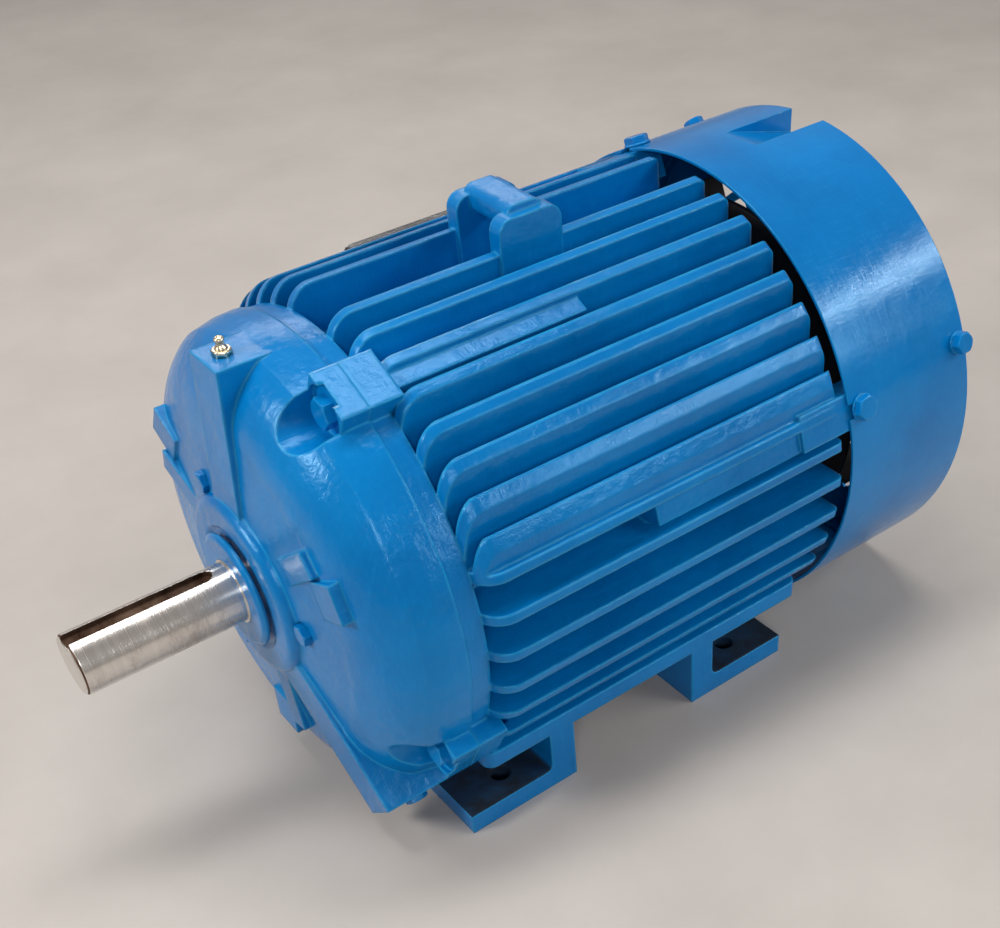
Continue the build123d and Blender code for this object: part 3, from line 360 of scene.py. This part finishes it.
def make_grained_group():
    """A plain colour with slow variation and a fine grain, for every unpainted piece."""
    graph, given, result = shader_group(
        "grained_surface",
        {
            "Colour": (0.5, 0.5, 0.5, 1),
            "Second Colour": (0.4, 0.4, 0.4, 1),
            "Grain Scale": 500.0,
            "Grain Depth": 0.0001,
            "Low Roughness": 0.4,
            "High Roughness": 0.6,
            "Edge Radius": 0.0006,
        },
    )
    place = graph.add("TexCoord").outputs["Object"]
    rounded, _ = graph.soft_edge(given["Edge Radius"])
    slow = graph.noise(place, drift_scale, 4)
    grain = graph.noise(place, given["Grain Scale"], 3)
    colour = graph.blend(graph.remap(slow, 0.35, 0.65), given["Colour"], given["Second Colour"])
    graph.feed(result["Colour"], colour)
    graph.feed(
        result["Roughness"],
        graph.remap(slow, 0.3, 0.7, given["Low Roughness"], given["High Roughness"]),
    )
    graph.feed(result["Normal"], graph.bump(grain, given["Grain Depth"], rounded))
    return graph.tree


grained_group = make_grained_group()
print(grained_group.name, "nodes", len(grained_group.nodes))

# %% [markdown]
# Each finish of the motor is now a few numbers on top of a group. The reflections of
# the blue are tinted a little with its own colour, because the thin top of the enamel
# still holds pigment.


# %% Materials
coat_roughness = 0.12


def finish(name, group, values, metallic=0.0, coat=0.0, tint=(1, 1, 1, 1)):
    """A material whose colour, roughness and normal come from one of the surface groups."""
    material = bpy.data.materials.new(name)
    material.use_nodes = True
    graph = Graph(material.node_tree)
    surface = graph.tree.nodes["Principled BSDF"]
    group_node = graph.add("Group", node_tree=group)
    for socket, value in values.items():
        group_node.inputs[socket].default_value = value
    for output, socket in (("Colour", "Base Color"), ("Roughness", "Roughness"), ("Normal", "Normal")):
        graph.tree.links.new(group_node.outputs[output], surface.inputs[socket])
    surface.inputs["Metallic"].default_value = metallic
    surface.inputs["Specular Tint"].default_value = tint
    surface.inputs["Coat Weight"].default_value = coat
    surface.inputs["Coat Roughness"].default_value = coat_roughness
    return material


blue = {
    "Colour": (0.0003, 0.203, 0.545, 1),
    # The pale colour of thin paint in brush marks and on edges, also the painted highlight on the edges.
    "Thin Paint And Glint Colour": (0.015, 0.35, 0.7, 1),
    "Deep Colour": (0.0001, 0.138, 0.41, 1),
    "Brush Depth": 0.00024,
    "Edge Radius": 0.003,
}
sheen = (0.4, 0.75, 1, 1)
sheet_blue = {
    **blue,
    "Cast Depth": 0.00012,
    "Brush Depth": 0.00016,
    "Sag Depth": 0.0003,
    "Edge Radius": 0.0012,
}
bolt_blue = {**blue, "Cast Depth": 0.0001, "Edge Radius": 0.0007}
black = {
    "Colour": (0.012, 0.012, 0.014, 1),
    "Thin Paint And Glint Colour": (0.03, 0.03, 0.033, 1),
    "Deep Colour": (0.008, 0.008, 0.01, 1),
}
foot_dark = {"Dark Below Height": 0.03}
key_grime = {"Grime Radius": 0.0207, "Grime Start": shaft_tip + 0.0007}
materials = {
    "blue_paint": finish("blue_paint", enamel_group, {**blue, **foot_dark}, tint=sheen),
    "sheet_paint": finish("sheet_paint", enamel_group, sheet_blue, tint=sheen),
    "bolt_paint": finish("bolt_paint", enamel_group, bolt_blue, tint=sheen),
    "black_paint": finish("black_paint", enamel_group, black, coat=0.2),
    "shaft_steel": finish(
        "shaft_steel",
        turned_group,
        {"Colour": (0.68, 0.65, 0.62, 1), "Stain Amount": 0.35, **key_grime},
        metallic=1.0,
    ),
    "bearing_steel": finish(
        "bearing_steel", turned_group, {"Colour": (0.66, 0.67, 0.69, 1), "Stain Amount": 0.0}, metallic=1.0
    ),
    "bolt_steel": finish(
        "bolt_steel", turned_group, {"Colour": (0.5, 0.5, 0.5, 1), "Stain Amount": 0.2}, metallic=1.0
    ),
    "brass": finish(
        "brass",
        turned_group,
        {"Colour": (0.62, 0.52, 0.33, 1), "Stain Colour": (0.3, 0.2, 0.1, 1), "Edge Radius": 0.0004},
        metallic=1.0,
    ),
    "core_steel": finish(
        "core_steel",
        grained_group,
        {"Colour": (0.2, 0.2, 0.22, 1), "Second Colour": (0.13, 0.13, 0.14, 1)},
        metallic=0.9,
    ),
    "bare_iron": finish(
        "bare_iron",
        grained_group,
        {"Colour": (0.16, 0.16, 0.165, 1), "Second Colour": (0.1, 0.1, 0.105, 1)},
        metallic=0.8,
    ),
    "cast_aluminium": finish(
        "cast_aluminium",
        grained_group,
        {"Colour": (0.7, 0.71, 0.73, 1), "Second Colour": (0.6, 0.61, 0.63, 1)},
        metallic=1.0,
    ),
    "copper": finish(
        "copper",
        grained_group,
        {
            "Colour": (0.5, 0.16, 0.06, 1), "Second Colour": (0.36, 0.1, 0.04, 1),
            "Grain Scale": 900.0, "Grain Depth": 0.0003,
        },
        metallic=0.4,
        coat=0.5,
    ),
    "black_rubber": finish(
        "black_rubber",
        grained_group,
        {
            "Colour": (0.01, 0.01, 0.01, 1), "Second Colour": (0.018, 0.018, 0.018, 1),
            "Low Roughness": 0.65, "High Roughness": 0.8,
        },
    ),
    "fan_plastic": finish(
        "fan_plastic",
        grained_group,
        {"Colour": (0.012, 0.012, 0.013, 1), "Second Colour": (0.018, 0.018, 0.02, 1)},
    ),
    "moulded_plastic": finish(
        "moulded_plastic",
        grained_group,
        {"Colour": (0.03, 0.022, 0.018, 1), "Second Colour": (0.02, 0.016, 0.014, 1)},
    ),
}
slot_of = {entry["node"]: entry["material_slot"] for entry in frame["record"]["subparts"]}
print("materials", len(materials))

# %% [markdown]
# The castings, the cowl and the shaft keep their CAD shapes, which are the real ones, and
# only take a finish. The cowl and the guard are sheet metal, so they get the same blue
# with almost no cast grain.

# %% Dress the nodes
sheet_nodes = ("fan_cowl", "fan_guard")


def dress(node, material):
    """Give a node one material in all of its slots."""
    piece = nodes[node]
    piece.data.materials.clear()
    piece.data.materials.append(material)


for node in nodes:
    dress(node, materials["sheet_paint" if node in sheet_nodes else slot_of[node]])
print("dressed", len(nodes), "nodes,", len(sheet_nodes), "of them as sheet metal")

# %% [markdown]
# A real hex head is not a plain prism. Its top is turned to a cone, which leaves a round
# land and six curved shoulders. Cutting that with a Boolean is slow and leaves slivers, so
# the rings are worked out instead: the hexagon's own radius is known at each angle, and
# the cone says how far the corner drops there. One fastener is made this way per node.

# %% One fastener
head_steps = 8
chamfer_slope = math.tan(math.radians(30))
land_share = 0.47
washer_share = 0.62
washer_side_share = 0.7
washer_bevel_share = 0.3
thread_lead = 0.0008


def hexagon_reach(angle, flats):
    """How far a hexagon reaches at an angle, from its centre."""
    part = (angle + math.pi / 6) % (math.pi / 3) - math.pi / 6
    return flats / 2 / math.cos(part)


def bridge(mesh, lower, upper):
    """Join two rings of vertices with a strip of faces."""
    for index, corner in enumerate(lower):
        following = (index + 1) % len(lower)
        mesh.faces.new((corner, lower[following], upper[following], upper[index]))


def ring(mesh, count, reach, height):
    """A closed ring of vertices whose radius and height may change with the angle."""
    corners = []
    for index in range(count):
        angle = 2 * math.pi * index / count
        radius = reach(angle)
        corners.append(mesh.verts.new((radius * math.cos(angle), radius * math.sin(angle), height(radius))))
    return corners


def stack(mesh, layers, count=6 * head_steps):
    """A closed solid from rings, each given by its reach and its height."""
    rings = [ring(mesh, count, reach, height) for reach, height in layers]
    for lower, upper in zip(rings, rings[1:]):
        bridge(mesh, lower, upper)
    mesh.faces.new(list(reversed(rings[0])))
    mesh.faces.new(rings[-1])


def at(value):
    """A radius or a height that is the same all the way round."""
    return lambda _: value


def hex_head(mesh, flats, bottom, top):
    """A hex head that is turned to a cone on top."""
    land = flats * land_share

    def shoulder_height(radius):
        return top - max(radius - land, 0) * chamfer_slope

    def side(angle):
        return hexagon_reach(angle, flats)

    stack(mesh, [(side, at(bottom)), (side, shoulder_height), (at(land), at(top))])


def make_fastener(name, thread, flats, head, length, washer=0.0):
    """A hex screw with its seat at the origin and its head up, with a washer if it has one."""
    mesh = bmesh.new()
    if washer:
        edge = flats * washer_share
        stack(mesh, [
            (at(edge), at(0)),
            (at(edge), at(washer * washer_side_share)),
            (at(edge - washer * washer_bevel_share), at(washer)),
        ])
    hex_head(mesh, flats, washer, head)
    shank = thread / 2
    stack(mesh, [
        (at(shank - thread_lead), at(-length)),
        (at(shank), at(thread_lead - length)),
        (at(shank), at(washer)),
    ])
    data = bpy.data.meshes.new(name)
    mesh.to_mesh(data)
    mesh.free()
    return bpy.data.objects.new(name, data)


print("a head has", 6 * head_steps, "sides and a chamfer of", round(chamfer_slope, 3))

# %% [markdown]
# The fasteners repeat, so Geometry Nodes set them out: one point per seat, which carries
# the way its screw faces, and one fastener that is copied to each. A random turn about its
# own axis keeps the heads from all pointing the same way, as a fitter leaves them. The
# result is realised and turned into one plain mesh per node.


# %% The tree that sets out fasteners
def make_seat_tree():
    """A tree that puts one turned copy of a fastener on each seat."""
    tree = bpy.data.node_groups.new("fasteners_on_seats", "GeometryNodeTree")
    for socket, kind in (
        ("Seats", "Geometry"), ("Fastener", "Object"), ("Finish", "Material"), ("Turn Seed", "Int"),
    ):
        tree.interface.new_socket(socket, in_out="INPUT", socket_type="NodeSocket" + kind)
    tree.interface.new_socket("Fasteners", in_out="OUTPUT", socket_type="NodeSocketGeometry")

    def add(kind, **settings):
        node = tree.nodes.new(kind)
        for name, value in settings.items():
            setattr(node, name, value)
        return node

    link = tree.links.new
    given = add("NodeGroupInput").outputs
    result = add("NodeGroupOutput").inputs
    facing = add("GeometryNodeInputNamedAttribute", data_type="FLOAT_VECTOR")
    facing.inputs["Name"].default_value = "facing"
    aim = add("FunctionNodeAlignRotationToVector", axis="Z")
    turn = add("FunctionNodeRandomValue", data_type="FLOAT")
    turn.inputs[3].default_value = math.pi / 3
    spin = add("FunctionNodeAxisAngleToRotation")
    spin.inputs["Axis"].default_value = (0, 0, 1)
    both = add("FunctionNodeRotateRotation", rotation_space="LOCAL")
    source = add("GeometryNodeObjectInfo", transform_space="ORIGINAL")
    source.inputs["As Instance"].default_value = True
    copies = add("GeometryNodeInstanceOnPoints")
    realised = add("GeometryNodeRealizeInstances")
    painted = add("GeometryNodeSetMaterial")
    link(facing.outputs["Attribute"], aim.inputs["Vector"])
    link(given["Turn Seed"], turn.inputs["Seed"])
    link(turn.outputs[1], spin.inputs["Angle"])
    link(aim.outputs["Rotation"], both.inputs["Rotation"])
    link(spin.outputs["Rotation"], both.inputs["Rotate By"])
    link(given["Fastener"], source.inputs["Object"])
    link(given["Seats"], copies.inputs["Points"])
    link(source.outputs["Geometry"], copies.inputs["Instance"])
    link(both.outputs["Rotation"], copies.inputs["Rotation"])
    link(copies.outputs["Instances"], realised.inputs["Geometry"])
    link(realised.outputs["Geometry"], painted.inputs["Geometry"])
    link(given["Finish"], painted.inputs["Material"])
    link(painted.outputs["Geometry"], result["Fasteners"])
    return tree


seat_tree = make_seat_tree()
print(seat_tree.name, "nodes", len(seat_tree.nodes))

# %% [markdown]
# Each seat is read back from the CAD screw that stood there. The node's loose triangles
# are merged in a copy and walked into islands, one per screw. Seen along the way that a
# screw faces, its middle is the middle of its island and its top is the island's top, and
# the seat lies one head below that.


# %% Find the seats
def islands(node):
    """The separate solids in a node, each as an array of its points."""
    mesh = bmesh.new()
    mesh.from_mesh(nodes[node].data)
    bmesh.ops.remove_doubles(mesh, verts=mesh.verts, dist=1e-6)
    waiting = set(mesh.verts)
    found = []
    while waiting:
        reached = [waiting.pop()]
        for corner in reached:
            for edge in corner.link_edges:
                other = edge.other_vert(corner)
                if other in waiting:
                    waiting.remove(other)
                    reached.append(other)
        found.append(np.array([corner.co for corner in reached]))
    mesh.free()
    return sorted(found, key=lambda points: tuple(points.mean(axis=0).round(4)))


def outwards(points):
    """The way out from the shaft at an island."""
    middle = points.mean(axis=0)
    away = np.array((0, middle[1], middle[2] - axis_height))
    return away / np.linalg.norm(away)


def seats(node, facing, head):
    """The seat of each screw in a node, and the way that it faces."""
    found = []
    for points in islands(node):
        way = outwards(points) if facing == "out" else np.array(facing, dtype=float)
        along = points @ way
        flattened = points - np.outer(along, way)
        centre = (flattened.min(axis=0) + flattened.max(axis=0)) / 2
        centre -= way * (centre @ way)
        found.append((centre + way * (along.max() - head), way))
    return found


def seat_points(name, found):
    """A mesh of loose points, one per seat, that carry the way their screws face."""
    data = bpy.data.meshes.new(name)
    data.from_pydata([tuple(place) for place, _ in found], [], [])
    facing = data.attributes.new("facing", "FLOAT_VECTOR", "POINT")
    facing.data.foreach_set("vector", np.array([way for _, way in found], dtype=np.float32).ravel())
    piece = bpy.data.objects.new(name, data)
    bpy.context.scene.collection.objects.link(piece)
    return piece


def input_of(tree, name):
    """The identifier of a tree's input socket."""
    return next(item.identifier for item in tree.interface.items_tree if item.name == name)


def set_out(node, fastener, facing, head, material, seed):
    """Replace a node of plain screws by detailed ones on the same seats."""
    points = seat_points(node + "_seats", seats(node, facing, head))
    bpy.context.scene.collection.objects.link(fastener)
    modifier = points.modifiers.new("fasteners", "NODES")
    modifier.node_group = seat_tree
    modifier[input_of(seat_tree, "Fastener")] = fastener
    modifier[input_of(seat_tree, "Finish")] = material
    modifier[input_of(seat_tree, "Turn Seed")] = seed
    shaped = points.evaluated_get(bpy.context.evaluated_depsgraph_get())
    piece = bpy.data.objects.new(node + "_detail", bpy.data.meshes.new_from_object(shaped))
    bpy.data.objects.remove(points)
    bpy.data.objects.remove(fastener)
    bpy.context.scene.collection.objects.link(piece)
    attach(piece, "stator")
    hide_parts(node)
    print(node, "faces", len(piece.data.polygons))


# %% [markdown]
# The sizes are those of standard screws: the width across flats and the height of the
# head follow the thread. The big ones pull the drive-end shield to the frame, the middle
# ones hold the fan-end shield and the cowl, and the small ones hold the bearing caps, the
# guard and the box cover.

# %% Set out the screws
drive_way, fan_way, box_way = (-1, 0, 0), (1, 0, 0), (0, 1, 0)
for seed, (node, facing, thread, flats, head, length, washer) in enumerate((
    ("drive_end_shield_bolts", drive_way, 0.012, 0.018, 0.0075, 0.038, 0.0),
    ("drive_end_cap_bolts", drive_way, 0.008, 0.013, 0.0055, 0.030, 0.0),
    ("fan_end_shield_bolts", fan_way, 0.010, 0.016, 0.0065, 0.032, 0.0015),
    ("fan_end_cap_bolts", fan_way, 0.008, 0.013, 0.0055, 0.030, 0.0),
    ("cowl_bolts", "out", 0.010, 0.016, 0.0065, 0.016, 0.0015),
    ("guard_screws", "out", 0.008, 0.014, 0.008, 0.012, 0.0015),
    ("cover_screws", box_way, 0.006, 0.010, 0.004, 0.030, 0.0),
    ("relief_plug", "out", 0.010, 0.014, 0.005, 0.012, 0.0),
)):
    material = materials["bolt_paint" if slot_of[node] == "blue_paint" else slot_of[node]]
    fastener = make_fastener(node + "_one", thread, flats, head, length, washer)
    set_out(node, fastener, facing, head, material, seed)

# %% [markdown]
# The grease nipple is a small brass fitting: a hexagon to screw it in by, a waist, and a
# rounded nose with a ball valve that the grease gun clips on to. It is made from the same
# rings as the screws, with a profile that a lathe would follow.

# %% Grease nipple
nipple_profile = (
    (0.0042, 0.0040), (0.0036, 0.0052), (0.0024, 0.0066), (0.0023, 0.0080), (0.0030, 0.0088),
    (0.0032, 0.0098), (0.0029, 0.0108), (0.0020, 0.0115), (0.0011, 0.0117), (0.0008, 0.0113),
)
nipple_flats = 0.011
nipple_stem = (0.0039, 0.012)
smooth_below = 3e-6


def make_nipple():
    """The fitting that takes the place of the plain CAD nipple, with its nose at the same height."""
    low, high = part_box("grease_nipple")
    total = nipple_profile[-2][1]
    mesh = bmesh.new()
    hex_head(mesh, nipple_flats, 0.0, nipple_profile[0][1])
    stack(mesh, [(at(radius), at(height)) for radius, height in nipple_profile])
    stack(mesh, [(at(nipple_stem[0]), at(-nipple_stem[1])), (at(nipple_stem[0]), at(0.0))])
    bmesh.ops.translate(mesh, verts=mesh.verts, vec=((low.x + high.x) / 2, 0, high.z - total))
    data = bpy.data.meshes.new("grease_nipple_detail")
    mesh.to_mesh(data)
    mesh.free()
    for face in data.polygons:
        face.use_smooth = face.area < smooth_below
    data.materials.append(materials["brass"])
    piece = bpy.data.objects.new("grease_nipple_detail", data)
    bpy.context.scene.collection.objects.link(piece)
    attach(piece, "stator")
    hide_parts("grease_nipple")
    print("grease_nipple faces", len(data.polygons))


make_nipple()

# %% [markdown]
# The motor stands on a plain pale floor. It has only a faint mottle, because the light on
# it and the shadow of the motor say enough, and it shows again in the lower half of the
# glossy paint. The world behind it lights the motor dimly, but the camera and the gloss
# see it as a pale wall, so that a low view ends in that and not in the dark.


# %% Floor and backdrop
floor_half = 6
floor_roughness = 0.6
floor_shade, floor_light = (0.47, 0.425, 0.385, 1), (0.55, 0.5, 0.455, 1)
mottle_scale = 5
room_light, wall_colour = (0.081, 0.085, 0.09, 1), (0.34, 0.32, 0.3, 1)


def make_floor():
    """A big plain square with a faint mottle."""
    material = bpy.data.materials.new("pale_floor")
    material.use_nodes = True
    graph = Graph(material.node_tree)
    surface = graph.tree.nodes["Principled BSDF"]
    mottle = graph.noise(graph.add("TexCoord").outputs["Object"], mottle_scale, 6, 0.6)
    colour = graph.blend(graph.remap(mottle, 0.3, 0.7), floor_shade, floor_light)
    graph.feed(surface.inputs["Base Color"], colour)
    surface.inputs["Roughness"].default_value = floor_roughness
    mesh = bpy.data.meshes.new("floor")
    corners = [(x * floor_half, y * floor_half, 0) for x, y in ((-1, -1), (1, -1), (1, 1), (-1, 1))]
    mesh.from_pydata(corners, [], [(0, 1, 2, 3)])
    mesh.materials.append(material)
    floor = bpy.data.objects.new("floor", mesh)
    bpy.context.scene.collection.objects.link(floor)


def make_backdrop():
    """A dim world for the light, which the camera and the gloss see as a pale wall."""
    world = bpy.data.worlds.new("studio")
    world.use_nodes = True
    graph = Graph(world.node_tree)
    rays = graph.add("LightPath").outputs
    mirrored = graph.maths("MAXIMUM", rays["Is Glossy Ray"], rays["Is Transmission Ray"])
    seen = graph.maths("MAXIMUM", mirrored, rays["Is Camera Ray"])
    colour = graph.blend(seen, room_light, wall_colour)
    graph.feed(graph.tree.nodes["Background"].inputs["Color"], colour)
    bpy.context.scene.world = world


make_floor()
make_backdrop()
print("floor", 2 * floor_half, "m wide, world", bpy.context.scene.world.name)

# %% [markdown]
